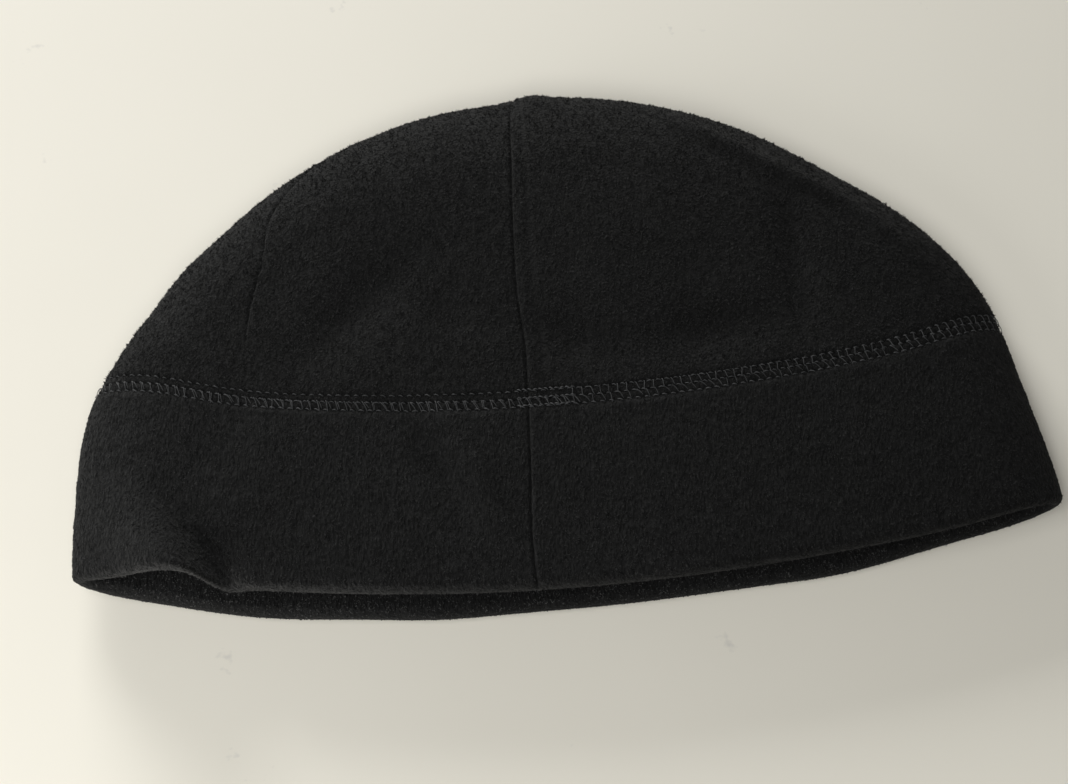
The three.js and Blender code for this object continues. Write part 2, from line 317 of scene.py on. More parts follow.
def crown_point(angle, climb, depth):
    """Points of the crown: climb runs from 0 at the join to 1 at the apex, along great circles of the
    ball that the flattened dome is drawn out from."""
    angle, climb, depth = np.broadcast_arrays(np.asarray(angle, float), climb, depth)
    foot = np.stack([np.sin(angle), np.zeros_like(angle), np.cos(angle)], -1)
    apex = np.array([0, math.cos(APEX_TILT), -math.sin(APEX_TILT)])
    span = np.arccos(np.clip(foot @ apex, -1, 1))
    heading = foot * np.sin((1 - climb) * span)[..., None] + apex * np.sin(climb * span)[..., None]
    heading /= np.linalg.norm(heading, axis=-1, keepdims=True)
    from_top = np.arccos(np.clip(heading[..., 2], -1, 1)) / (math.pi / 2)
    bearing = np.arctan2(heading[..., 0], np.maximum(heading[..., 1], 0))
    wide, tall = HALF_JOIN - depth, DOME_HEIGHT - depth
    reach = tall + (wide - tall) * np.sin(bearing) ** 2
    height = HALF_HEIGHT - depth
    out, up = side_roll(np.where(from_top > 1, 2 - from_top, from_top), reach, EDGE_ROLL - depth, height)
    across, along = out / reach * np.sin(bearing), out / reach * np.cos(bearing)
    x = wide * (1 - DOME_TAPER * along) * across
    y = BAND_HEIGHT + tall * along - RIM_BOW * (1 - across ** 2 - along ** 2)
    return lie(x, y, np.where(from_top > 1, -1.0, 1.0) * up, height)


def meridian_length(angle):
    """The length of the crown's meridian at an angle, near enough for what lies close to the join."""
    span = np.arccos(-np.cos(angle) * math.sin(APEX_TILT))
    return span * ((2 / math.pi) * np.cos(angle) ** 2 + np.sin(angle) ** 2) * DOME_HEIGHT


def cap_point(angle, from_rim, depth):
    """Points of the cap at a distance from the rim, on the band or past the join on the crown."""
    angle, from_rim, depth = np.broadcast_arrays(angle, np.asarray(from_rim, float), depth)
    on_band = band_point(angle, np.minimum(from_rim, BAND_HEIGHT), depth)
    on_crown = crown_point(angle, np.maximum(from_rim - BAND_HEIGHT, 0) / meridian_length(angle), depth)
    return np.where((from_rim > BAND_HEIGHT)[..., None], on_crown, on_band)


def angles_round(count, seams=(), crowding=math.radians(12)):
    """Angles of a mesh's columns, closer together at the side folds and at each seam."""
    even = np.arange(count) / count * 2 * math.pi
    found = even + crowding * np.sin(2 * even)
    beside = np.radians([0.1, 0.22, 0.38, 0.62, 1.0, 1.6])
    for seam in seams:
        found = found[np.abs(wrapped(found - seam)) > math.radians(2.4)]
        found = np.concatenate([found, seam + np.concatenate([-beside, [0], beside])])
    return np.sort(np.mod(found, 2 * math.pi))


def new_piece(name, points, faces, material):
    """A mesh object from points in millimetres, its faces turned outwards."""
    points = np.asarray(points, float)
    first = np.array([f[:3] for f in faces])
    a, b, c = (points[first[:, i]] for i in range(3))
    if (a * np.cross(b, c)).sum() < 0:
        faces = [f[::-1] for f in faces]
    mesh = bpy.data.meshes.new(name)
    mesh.from_pydata((points * MM).tolist(), [], [tuple(int(i) for i in f) for f in faces])
    mesh.materials.append(material)
    mesh.shade_smooth()
    return new_object(name, mesh)


def row_faces(rows, columns, close_rows=False, close_columns=True, first=0):
    """Four-cornered faces between rows of points."""
    faces = []
    for r in range(rows if close_rows else rows - 1):
        low, high = first + r * columns, first + (r + 1) % rows * columns
        for c in range(columns if close_columns else columns - 1):
            d = (c + 1) % columns
            faces.append((low + c, low + d, high + d, high + c))
    return faces


def fleece_finish(name, shades, grain):
    """Brushed fleece: matted pile in tufts of half a millimetre, drawn out along the grain, a faint
    sheen, and broad patches where the pile has been rubbed or pressed. The colour is painted
    lighter towards the left and darker towards the right: painted light, as it falls from the left."""
    material, tree, output = new_material(name)
    dark, light = shades
    at = add_node(tree, "ShaderNodeTexCoord").outputs["Object"]
    drawn = add_node(tree, "ShaderNodeMapping", Vector=at, Scale=grain).outputs[0]
    tuft = add_node(tree, "ShaderNodeTexNoise", Vector=drawn, Scale=1500.0, Detail=2.0, Roughness=0.6)
    clump = add_node(tree, "ShaderNodeTexNoise", Vector=drawn, Scale=520.0, Detail=2.0, Roughness=0.6)
    patch = add_node(tree, "ShaderNodeTexNoise", Vector=at, Scale=34.0, Detail=3.0, Roughness=0.55)
    speck = add_node(tree, "ShaderNodeMapRange", Value=tuft.outputs["Fac"], From_Min=0.34, From_Max=0.66)
    speckled = add_node(tree, "ShaderNodeMix", {"data_type": "RGBA"}, Factor_Float=speck.outputs["Result"],
                        A_Color=dark, B_Color=light)
    worn = add_node(tree, "ShaderNodeMapRange", Value=patch.outputs["Fac"], From_Min=0.3, From_Max=0.75,
                    To_Min=0.85, To_Max=1.18)
    clumped = add_node(tree, "ShaderNodeMapRange", Value=clump.outputs["Fac"], From_Min=0.3,
                       From_Max=0.7, To_Min=0.8, To_Max=1.2)
    # Painted light: the colour is scaled from lighter at the cap's left to darker at its right, for the
    # light that falls from the left.
    across = add_node(tree, "ShaderNodeSeparateXYZ", Vector=at).outputs["X"]
    painted_light_leftwards = add_node(tree, "ShaderNodeMapRange", Value=across, From_Min=-HALF_RIM * MM,
                       From_Max=HALF_RIM * MM, To_Min=1.26, To_Max=0.78)
    both = combined(tree, "MULTIPLY", worn.outputs["Result"], clumped.outputs["Result"])
    colour = add_node(tree, "ShaderNodeVectorMath", {"operation": "SCALE"}, Vector=speckled.outputs[2],
                      Scale=combined(tree, "MULTIPLY", both, painted_light_leftwards.outputs["Result"]))
    rough = add_node(tree, "ShaderNodeMapRange", Value=tuft.outputs["Fac"], To_Min=0.8, To_Max=1.0)
    height = combined(tree, "ADD", tuft.outputs["Fac"], clump.outputs["Fac"])
    bump = add_node(tree, "ShaderNodeBump", Strength=0.9, Distance=0.0007, Height=height)
    shader = add_node(tree, "ShaderNodeBsdfPrincipled", Base_Color=colour.outputs[0],
                      Roughness=rough.outputs["Result"], Normal=bump.outputs[0])
    shader.inputs["Specular IOR Level"].default_value = 0.1
    shader.inputs["Sheen Weight"].default_value = 0.03
    shader.inputs["Sheen Roughness"].default_value = 0.6
    tree.links.new(shader.outputs[0], output.inputs["Surface"])
    return material


COVER_ROWS = (2.6, 0.05, -2.5)               # the three needle rows, from the join towards the crown
PRESSED_IN = 0.35                            # by the coverstitch as a whole, and again by each row
PRESSED_HALF = 3.3                           # half the width of what it presses in
ROW_HALF = 0.45                              # half the width of one row's groove


def stitched_in(distance):
    """How deep the coverstitch presses the cloth in, at a distance past the join."""
    flat = PRESSED_IN / (1 + np.exp((np.abs(distance) - PRESSED_HALF) / 0.3))
    return flat + sum(PRESSED_IN * np.exp(-((distance - row) / ROW_HALF) ** 2) for row in COVER_ROWS)


LUMP_WAVES = 28
LUMP_SCALE = 2.4                             # brings the mean of the waves to about -1 to 1


def lumps(points, size, seed):
    """Smooth noise between about -1 and 1, in lumps of a size."""
    random = np.random.default_rng(seed)
    total = np.zeros(points.shape[:-1])
    for _ in range(LUMP_WAVES):
        way = random.normal(size=3)
        way /= np.linalg.norm(way)
        total += np.sin(points @ way * (2 * math.pi / (size * random.uniform(0.7, 1.6)))
                        + random.uniform(0, 2 * math.pi))
    return total / LUMP_WAVES * LUMP_SCALE


GROOVE_HALF = 0.42                           # half the width of a seam's groove
TURNED_EDGES = 2.6                           # how far beside it the cloth's turned edges lie
TURNED_HALF = 2.0
TURNED_SHARE = 0.18                          # how high they lift the cloth, as a share of the groove
PILE_LUMPS = ((0.13, 4.5), (0.09, 2.6))      # height and size of the lumps in the matted pile


def seam_groove(distance, deep):
    """A seam's groove, and the low swell beside it where the cloth's turned edges lie underneath."""
    groove = deep * np.exp(-(distance / GROOVE_HALF) ** 2)
    return groove - TURNED_SHARE * deep * np.exp(-((distance - TURNED_EDGES) / TURNED_HALF) ** 2)


def cloth_rows(columns, rows, locate, seams, deepen, seed):
    """A cloth surface, row by row, with its seams' grooves and its pile's lumps. rows holds
    (position, depth, whether this is the outer face). Gives the points, and how much nap grows."""
    made, nap = [], []
    for position, depth, outer in rows:
        spot = locate(columns, position, depth)
        bare = np.zeros(len(columns))
        if outer:
            per_turn = np.linalg.norm(locate(columns + 0.002, position, depth) - spot, axis=-1) / 0.002
            groove = 0
            for index, seam in enumerate(seams):
                distance = wrapped(columns - seam) * per_turn
                deep = deepen(index, position)
                groove = groove + seam_groove(distance, deep)
                bare = np.maximum(bare, np.exp(-(distance / 0.5) ** 2) * np.minimum(deep / 0.5, 1))
            rough = sum(high * lumps(spot, size, seed + i) for i, (high, size) in enumerate(PILE_LUMPS))
            spot = locate(columns, position, depth + groove - rough)
        made.append(spot)
        nap.append(1 - bare)
    return np.array(made), np.array(nap)


def nap_tree():
    """Short fibres that grow from a cloth's face in clumps, taller in a clump's middle: three-sided
    spikes that lean with the grain."""
    tree = bpy.data.node_groups.new("fleece_nap", "GeometryNodeTree")
    tree.interface.new_socket("Cloth", in_out="INPUT", socket_type="NodeSocketGeometry")
    for name, kind in (("Fibres Per Area", "Float"), ("Clumps", "Float"), ("Length", "Float"),
                       ("Root Radius", "Float"), ("Grain", "Vector"), ("Ruffle", "Float"),
                       ("Seed", "Int"), ("Finish", "Material")):
        tree.interface.new_socket(name, in_out="INPUT", socket_type="NodeSocket" + kind)
    tree.interface.new_socket("Nap", in_out="OUTPUT", socket_type="NodeSocketGeometry")
    given = tree.nodes.new("NodeGroupInput").outputs
    grows = add_node(tree, "GeometryNodeInputNamedAttribute", {"data_type": "FLOAT"}, Name="nap")
    density = combined(tree, "MULTIPLY", given["Fibres Per Area"], grows.outputs["Attribute"])
    roots = add_node(tree, "GeometryNodeDistributePointsOnFaces", {"distribute_method": "RANDOM"},
                     Mesh=given["Cloth"], Density=density, Seed=given["Seed"])
    clump = add_node(tree, "ShaderNodeTexNoise", Scale=given["Clumps"], Detail=1.0,
                     Vector=add_node(tree, "GeometryNodeInputPosition").outputs[0])
    strayed = add_node(tree, "FunctionNodeRandomValue", {"data_type": "FLOAT"}, Min_001=-0.07,
                       Max_001=0.07, Seed=given["Seed"])
    in_clump = combined(tree, "ADD", clump.outputs["Fac"], strayed.outputs["Value"])
    between = add_node(tree, "FunctionNodeCompare", {"data_type": "FLOAT", "operation": "LESS_THAN"},
                       A=in_clump, B=0.5)
    kept = add_node(tree, "GeometryNodeDeleteGeometry", {"domain": "POINT"},
                    Geometry=roots.outputs["Points"], Selection=between.outputs["Result"])
    spike = add_node(tree, "GeometryNodeMeshCone", {"fill_type": "NGON"}, Vertices=3, Side_Segments=1,
                     Fill_Segments=1, Radius_Top=0.0, Radius_Bottom=given["Root Radius"],
                     Depth=given["Length"])
    sunk = add_node(tree, "GeometryNodeTransform", Geometry=spike.outputs["Mesh"],
                    Translation=(0, 0, -0.00012))
    ruffle = add_node(tree, "FunctionNodeRandomValue", {"data_type": "FLOAT_VECTOR"},
                      Min=(-1, -1, -1), Max=(1, 1, 1), Seed=given["Seed"])
    thrown = add_node(tree, "ShaderNodeVectorMath", {"operation": "SCALE"}, Vector=ruffle.outputs[0],
                      Scale=given["Ruffle"])
    leaning = combined(tree, "ADD", thrown.outputs[0], given["Grain"], "ShaderNodeVectorMath")
    way = combined(tree, "ADD", leaning, roots.outputs["Normal"], "ShaderNodeVectorMath")
    facing = add_node(tree, "FunctionNodeAlignRotationToVector", {"axis": "Z"}, Vector=way)
    grown_to = add_node(tree, "FunctionNodeRandomValue", {"data_type": "FLOAT"}, Min_001=0.7,
                        Max_001=1.25, ID=add_node(tree, "GeometryNodeInputIndex").outputs[0])
    domed = add_node(tree, "ShaderNodeMapRange", Value=clump.outputs["Fac"], From_Min=0.45,
                     From_Max=0.68, To_Min=0.55, To_Max=1.35)
    size = combined(tree, "MULTIPLY", grown_to.outputs["Value"], domed.outputs["Result"])
    placed = add_node(tree, "GeometryNodeInstanceOnPoints", Points=kept.outputs["Geometry"],
                      Instance=sunk.outputs["Geometry"], Rotation=facing.outputs[0])
    tree.links.new(size, placed.inputs["Scale"])
    real = add_node(tree, "GeometryNodeRealizeInstances", Geometry=placed.outputs["Instances"])
    finished = add_node(tree, "GeometryNodeSetMaterial", Geometry=real.outputs["Geometry"],
                        Material=given["Finish"])
    output = tree.nodes.new("NodeGroupOutput")
    tree.links.new(finished.outputs["Geometry"], output.inputs["Nap"])
    return tree


def grown(name, start, tree, settings):
    """The mesh that a Geometry Nodes tree makes from an object's mesh, as a plain mesh object."""
    modifier = start.modifiers.new("made", "NODES")
    modifier.node_group = tree
    for item in tree.interface.items_tree:
        if item.in_out == "INPUT" and item.name in settings:
            modifier[item.identifier] = settings[item.name]
    start.update_tag()
    graph = bpy.context.evaluated_depsgraph_get()
    mesh = bpy.data.meshes.new_from_object(start.evaluated_get(graph), depsgraph=graph)
    mesh.name = name
    bpy.data.objects.remove(start)
    return new_object(name, mesh)


FLEECE_NAP = nap_tree()
NAP_FIBRES = 44000                           # in one piece of nap, about half of what is sown
CLUMPS = 1050.0                              # clumps in a metre
FIBRE_RADIUS = 0.16                          # of a matted lock of fibres, at its root
RUFFLE = 1.2                                 # how far the fibres stray from the way that the nap leans
UPPER_NAP = 0.75                             # length of the nap on the upper side, in mm
PRESSED_NAP = 0.5                            # and of the nap on the side that the cap lies on


def nap_on(name, grid, grows, finish, grain, length, seed):
    """A piece of nap on a grid of cloth points. grows is how thickly the fibres stand at each point."""
    rows, columns = grid.shape[:2]
    faces = row_faces(rows, columns, close_columns=False)
    mesh = bpy.data.meshes.new(name + "_ground")
    mesh.from_pydata((grid.reshape(-1, 3) * MM).tolist(), [], faces)
    mesh.attributes.new("nap", "FLOAT", "POINT").data.foreach_set("value", grows.reshape(-1))
    ground = new_object(name + "_ground", mesh)
    area = 0.0
    shares = grows.reshape(-1)
    for face in mesh.polygons:
        area += face.area * float(np.mean([shares[v] for v in face.vertices]))
    made = grown(name, ground, FLEECE_NAP, {
        "Fibres Per Area": 2 * NAP_FIBRES / area, "Clumps": CLUMPS, "Length": length * MM,
        "Root Radius": FIBRE_RADIUS * MM, "Grain": grain, "Ruffle": RUFFLE, "Seed": seed,
        "Finish": finish})
    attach(made, "root")
    return made


# The cloth under the nap and the nap itself are shaded and lit copies of one fleece: the cloth is painted
# darker, painted shade for the deep gaps among the fibres, and the pile lighter.
GROUND_IN_PAINTED_SHADE = (0.0016, 0.0018, 0.0019, 1), (0.0090, 0.0092, 0.0094, 1)
PILE_SHADES = (0.0034, 0.0036, 0.0038, 1), (0.0228, 0.0231, 0.0234, 1)
# Painted light: the nap of the layer that the cap lies on is a lighter copy of the pile, so that its
# inside, seen under the rim, looks as lit as the upper side.
PAINTED_LIGHT_UNDER_SHADES = (0.0150, 0.0153, 0.0156, 1), (0.0600, 0.0605, 0.0610, 1)
BAND_GRAIN = (1.0, 0.45, 1.0)                # the pile's tufts are drawn out up and down the band
band_fleece = fleece_finish("band_fleece", GROUND_IN_PAINTED_SHADE, BAND_GRAIN)
band_pile = fleece_finish("band_pile", PILE_SHADES, BAND_GRAIN)
unrubbed_pile = fleece_finish("unrubbed_pile", PAINTED_LIGHT_UNDER_SHADES, BAND_GRAIN)
nose = BAND_THICK / 2                        # the radius of the soft fold at the rim
# Rows lie close together under the coverstitch, on both sides of the join.
STEPS_FROM_JOIN = (0.12, 0.5, 0.9, 1.4, 2.0, 2.4, 2.8, 3.3, 4.0, 5.0)
outer_down = [BAND_HEIGHT - d for d in (*STEPS_FROM_JOIN, 6.5)]
outer_down += list(np.linspace(BAND_HEIGHT - 8.2, nose + 0.6, 34))
inner_up = list(np.linspace(nose + 1.5, BAND_HEIGHT + JOIN_ALLOWANCE, 26))
band_rows = [(m, float(stitched_in(m - BAND_HEIGHT)), True) for m in outer_down]
band_rows += [(nose - nose * math.sin(t), nose - nose * math.cos(t), True)
              for t in np.linspace(0, math.pi, 15)]
SEEN_INSIDE = 12                             # rows of the inner face that can be seen and carry nap
band_rows += [(m, BAND_THICK, True) for m in inner_up[:SEEN_INSIDE]]
faced_rows = len(band_rows)
band_rows += [(m, BAND_THICK, False) for m in inner_up[SEEN_INSIDE:]]
band_rows += [(m, BAND_THICK - FLEECE, False) for m in reversed(inner_up)]
band_rows += [(nose, BAND_THICK - FLEECE, False), (nose, FLEECE, False)]
band_rows += [(m, FLEECE, False) for m in np.linspace(nose + 2, BAND_HEIGHT - 0.12, 12)]
BAND_SEAM_GROOVE = 0.75
band_columns = angles_round(500, [SEAM_TURN])
band_grid, band_nap = cloth_rows(band_columns, band_rows, cap_point, [SEAM_TURN],
                                 lambda index, position: BAND_SEAM_GROOVE, 11)
band = new_piece("band_cloth", band_grid.reshape(-1, 3),
                 row_faces(len(band_rows), len(band_columns), close_rows=True), band_fleece)
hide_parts("band")
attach(band, "root")


def part_of(grid, grows, columns, low, high, rows):
    """The first rows of a cloth's grid between two angles in degrees, which may run past the last
    column."""
    turns = np.degrees(np.unwrap(np.concatenate([columns, columns + 2 * math.pi]))) % 720
    chosen = np.nonzero((turns >= low % 360) & (turns <= low % 360 + (high - low)))[0] % len(columns)
    return grid[:rows, chosen], grows[:rows, chosen]


STITCHED_HALF = 3.4                          # half the width of the coverstitch's threads
STITCHED_OUT = 0.35                          # the share of the nap that they hold down
AWAY = 30.0                                  # stands for any row too far off for them
NAP_PARTS = (("upper_left", -92, -3), ("upper_right", -3, 92), ("under", 92, 268))
BAND_LEAN = (0.1, -0.5, 0.0)                 # the nap leans towards the rim


def in_stitches(rows_from_join, grows):
    """Thins the nap where the coverstitch lies."""
    near = np.exp(-(np.asarray(rows_from_join) / STITCHED_HALF) ** 8)
    return grows * (1 - STITCHED_OUT * near)[:, None]


band_from_join = [m - BAND_HEIGHT if d < FLEECE else AWAY for m, d, outer in band_rows]
band_nap = in_stitches(band_from_join, band_nap)
# The under layer's nap takes the lighter copy of the pile, which is painted light.
for seed, (place, low, high) in enumerate(NAP_PARTS, 3):
    grid, grows = part_of(band_grid, band_nap, band_columns, low, high, faced_rows)
    below = place == "under"
    piece = nap_on("band_nap_" + place, grid, grows, unrubbed_pile if below else band_pile, BAND_LEAN,
                   PRESSED_NAP if below else UPPER_NAP, seed)

# ==================================================================================================
# The crown. One piece of fleece cut with six petals: a back seam over its whole height, and five
# darts that end in points above the join. The seams meet at the apex, which has rolled over the top,
# and the lower edge is sewn to the band.
# ==================================================================================================
CROWN_GRAIN = (1.0, 0.8, 1.0)
crown_fleece = fleece_finish("crown_fleece", GROUND_IN_PAINTED_SHADE, CROWN_GRAIN)
crown_pile = fleece_finish("crown_pile", PILE_SHADES, CROWN_GRAIN)
DARTS = [SEAM_TURN + math.radians(place) for place in (51.5, 116, 180, -116, -51.5)]
DART_DEPTHS = (0.4, 0.8, 0.8, 0.8, 0.95)     # the right back dart lies nearly smooth
BACK_SEAM_GROOVE = 0.8
DART_START = 24.0                            # a dart's point lies this far above the join
DART_FADE = 5.0
crown_columns = angles_round(430, [SEAM_TURN, *DARTS])
crown_length = meridian_length(crown_columns)
NEAR_JOIN = 8.0                              # the rows that are set by the join's own steps end here


def crown_rows(count, depth, outer):
    """Rows from just past the join's own rows to just before the apex."""
    start = NEAR_JOIN / crown_length
    return [(start + (1 - start) * share, depth, outer) for share in np.linspace(0, 1, count + 1)[1:-1]]


def dart_depth(index, position):
    """The back seam has its groove all the way, and a dart's fades in above its point."""
    if index == 0:
        return BACK_SEAM_GROOVE + 0 * position
    past_point = position * crown_length - DART_START
    return DART_DEPTHS[index - 1] / (1 + np.exp(-past_point / DART_FADE))


join_steps = (*STEPS_FROM_JOIN, 6.4, NEAR_JOIN)
APEX_DENT = 0.35                             # where the seams meet
outer_rows = [(d / crown_length, float(stitched_in(d)), True) for d in join_steps]
outer_rows += crown_rows(118, 0.0, True)
inner_rows = crown_rows(26, FLEECE, False)[::-1]
inner_rows += [(d / crown_length, FLEECE, False) for d in (NEAR_JOIN, 4.0, 0.12)]
crown_grid, crown_nap = cloth_rows(crown_columns, outer_rows + inner_rows, crown_point,
                                   [SEAM_TURN, *DARTS], dart_depth, 31)
columns, outer_count, all_rows = len(crown_columns), len(outer_rows), len(outer_rows) + len(inner_rows)
outer_apex, inner_apex = crown_point(0.0, 1.0, APEX_DENT), crown_point(0.0, 1.0, FLEECE)
faces = row_faces(outer_count, columns)
faces += row_faces(len(inner_rows), columns, first=outer_count * columns)
apex_at = all_rows * columns
for c in range(columns):
    d = (c + 1) % columns
    faces.append(((outer_count - 1) * columns + c, (outer_count - 1) * columns + d, apex_at))
    faces.append((outer_count * columns + d, outer_count * columns + c, apex_at + 1))
    faces.append(((all_rows - 1) * columns + c, (all_rows - 1) * columns + d, d, c))
crown = new_piece("crown_cloth", np.vstack([crown_grid.reshape(-1, 3), outer_apex, inner_apex]), faces,
                  crown_fleece)
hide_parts("crown")
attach(crown, "root")
CROWN_LEAN = (0.1, -0.35, 0.0)

crown_nap = in_stitches([*join_steps] + [AWAY] * (all_rows - len(join_steps)), crown_nap)
for seed, (place, low, high) in enumerate(NAP_PARTS, 6):
    grid, grows = part_of(crown_grid, crown_nap, crown_columns, low, high, outer_count)
    piece = nap_on("crown_nap_" + place, grid, grows, crown_pile, CROWN_LEAN,
                   PRESSED_NAP if place == "under" else UPPER_NAP, seed)

# ==================================================================================================
# The seam threads. Overlocking inside the crown over the back seam and the darts, over the edge of
# the join's allowance, and in the band's own short seam. Spun polyester, zigzag over the cloth's edge.
# ==================================================================================================
THREAD = 0.42                                # across one thread
PITCH = 2.65                                 # from one stitch to the next


def thread_finish(name, dark, light):
    """Textured polyester thread: fine crimped fibres with a little shine."""
    material, tree, output = new_material(name)
    at = add_node(tree, "ShaderNodeTexCoord").outputs["Object"]
    crimp = add_node(tree, "ShaderNodeTexNoise", Vector=at, Scale=3200.0, Detail=2.0, Distortion=0.8)
    uneven = add_node(tree, "ShaderNodeTexNoise", Vector=at, Scale=260.0, Detail=1.0)
    mixed = add_node(tree, "ShaderNodeMix", {"data_type": "RGBA"}, Factor_Float=uneven.outputs["Fac"],
                     A_Color=dark, B_Color=light)
    bump = add_node(tree, "ShaderNodeBump", Strength=0.6, Distance=0.0002, Height=crimp.outputs["Fac"])
    rough = add_node(tree, "ShaderNodeMapRange", Value=crimp.outputs["Fac"], To_Min=0.38, To_Max=0.62)
    shader = add_node(tree, "ShaderNodeBsdfPrincipled", Base_Color=mixed.outputs[2],
                      Roughness=rough.outputs["Result"], Normal=bump.outputs[0])
    shader.inputs["Specular IOR Level"].default_value = 0.25
    tree.links.new(shader.outputs[0], output.inputs["Surface"])
    return material


def stitch_tree():
    """Stitches along a path: one curved thread for each step, laid out by its start, its two handles
    and its end, with +X along the path and +Z out of the cloth, each a little unlike the next."""
    tree = bpy.data.node_groups.new("stitch_row", "GeometryNodeTree")
    tree.interface.new_socket("Path", in_out="INPUT", socket_type="NodeSocketGeometry")
    for name, kind in (("Pitch", "Float"), ("Start", "Vector"), ("Start Handle", "Vector"),
                       ("End Handle", "Vector"), ("End", "Vector"), ("Thread Radius", "Float"),
                       ("Unevenness", "Float"), ("Seed", "Int"), ("Finish", "Material")):
        tree.interface.new_socket(name, in_out="INPUT", socket_type="NodeSocket" + kind)
    tree.interface.new_socket("Stitches", in_out="OUTPUT", socket_type="NodeSocketGeometry")
    given = tree.nodes.new("NodeGroupInput").outputs
    route = add_node(tree, "GeometryNodeMeshToCurve", Mesh=given["Path"])
    steps = add_node(tree, "GeometryNodeResampleCurve", {"mode": "LENGTH"}, Curve=route.outputs["Curve"],
                     Length=given["Pitch"])
    bent = add_node(tree, "GeometryNodeCurvePrimitiveBezierSegment", Resolution=7, Start=given["Start"],
                    Start_Handle=given["Start Handle"], End_Handle=given["End Handle"], End=given["End"])
    round_thread = add_node(tree, "GeometryNodeCurvePrimitiveCircle", Resolution=6,
                            Radius=given["Thread Radius"])
    stitch = add_node(tree, "GeometryNodeCurveToMesh", Curve=bent.outputs["Curve"],
                      Profile_Curve=round_thread.outputs["Curve"], Fill_Caps=True)
    out = add_node(tree, "GeometryNodeInputNamedAttribute", {"data_type": "FLOAT_VECTOR"}, Name="outward")
    facing = add_node(tree, "FunctionNodeAxesToRotation", {"primary_axis": "Z", "secondary_axis": "X"},
                      Primary_Axis=out.outputs["Attribute"],
                      Secondary_Axis=add_node(tree, "GeometryNodeInputTangent").outputs[0])
    any_way = add_node(tree, "FunctionNodeRandomValue", {"data_type": "FLOAT_VECTOR"},
                       Min=(-0.2, -0.2, -1), Max=(0.2, 0.2, 1), Seed=given["Seed"])
    askew = add_node(tree, "ShaderNodeVectorMath", {"operation": "SCALE"}, Vector=any_way.outputs[0],
                     Scale=given["Unevenness"])
    turn = add_node(tree, "FunctionNodeEulerToRotation", Euler=askew.outputs[0])
    turned = add_node(tree, "FunctionNodeRotateRotation", {"rotation_space": "LOCAL"},
                      Rotation=facing.outputs[0], Rotate_By=turn.outputs[0])
    size = add_node(tree, "FunctionNodeRandomValue", {"data_type": "FLOAT"}, Min_001=0.85, Max_001=1.15,
                    Seed=given["Seed"])
    placed = add_node(tree, "GeometryNodeInstanceOnPoints", Points=steps.outputs["Curve"],
                      Instance=stitch.outputs["Mesh"], Rotation=turned.outputs[0])
    tree.links.new(size.outputs["Value"], placed.inputs["Scale"])
    real = add_node(tree, "GeometryNodeRealizeInstances", Geometry=placed.outputs["Instances"])
    smooth = add_node(tree, "GeometryNodeSetShadeSmooth", Geometry=real.outputs["Geometry"])
    finished = add_node(tree, "GeometryNodeSetMaterial", Geometry=smooth.outputs["Geometry"],
                        Material=given["Finish"])
    output = tree.nodes.new("NodeGroupOutput")
    tree.links.new(finished.outputs["Geometry"], output.inputs["Stitches"])
    return tree


STITCH_ROW = stitch_tree()
TURN_STEP = 0.004                            # small steps round and up the cap, in radians and in each
CLIMB_STEP = {cap_point: 0.4, band_point: 0.4, crown_point: 0.004}      # function's own measure


def stitch_row(locate, angle, position, depth, closed, inside, shape, thread, seed, finish, uneven=0.12,
               pitch=PITCH):
    """One row of stitches along a path on the cap. shape is the four points of one stitch, in mm."""
    spots = locate(angle, position, depth)
    around = locate(angle + TURN_STEP, position, depth) - locate(angle - TURN_STEP, position, depth)
    upwards = locate(angle, position + CLIMB_STEP[locate], depth) - spots
    outward = np.cross(around, upwards)
    outward *= (-1 if inside else 1) / np.linalg.norm(outward, axis=-1, keepdims=True)
    count = len(spots)
    edges = [(i, (i + 1) % count) for i in range(count if closed else count - 1)]
    mesh = bpy.data.meshes.new("stitch_path")
    mesh.from_pydata((spots * MM).tolist(), edges, [])
    mesh.attributes.new("outward", "FLOAT_VECTOR", "POINT").data.foreach_set("vector", outward.reshape(-1))
    path = new_object("stitch_path", mesh)
    points = [tuple(v * MM for v in point) for point in shape]
    return grown("stitches", path, STITCH_ROW, {
        "Pitch": pitch * MM, "Start": points[0], "Start Handle": points[1], "End Handle": points[2],
        "End": points[3], "Thread Radius": thread / 2 * MM, "Unevenness": uneven, "Seed": seed,
        "Finish": finish})


PRESSED_FLAT = -0.35                         # what is under the cap is pressed no lower than this


def sewn_together(name, rows, finish, node):
    """Joins rows of stitches into one piece that stands for one of the CAD's thread nodes."""
    points, faces = [], []
    for row in rows:
        first = len(points)
        points += [(v.co.x, v.co.y, max(v.co.z, PRESSED_FLAT * MM)) for v in row.data.vertices]
        faces += [tuple(first + i for i in f.vertices) for f in row.data.polygons]
        bpy.data.objects.remove(row)
    mesh = bpy.data.meshes.new(name)
    mesh.from_pydata(points, [], faces)
    mesh.materials.append(finish)
    mesh.shade_smooth()
    made = new_object(name, mesh)
    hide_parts(node)
    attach(made, "root")
    return made


seam_thread = thread_finish("seam_thread", (0.020, 0.021, 0.022, 1), (0.040, 0.041, 0.043, 1))
EVENLY = np.linspace(-math.pi, math.pi, 720, endpoint=False)


def zigzag(half_width, rise):
    """The two legs of an overlock stitch, over and back across its width."""
    step = PITCH / 2
    over = [(0, -half_width, 0), (0.1, -half_width / 2, rise), (step - 0.1, half_width / 2, rise),
            (step, half_width, 0)]
    back = [(step, half_width, 0), (step + 0.1, half_width / 2, rise * 0.7),
            (PITCH - 0.1, -half_width / 2, rise * 0.7), (PITCH, -half_width, 0)]
    return over, back


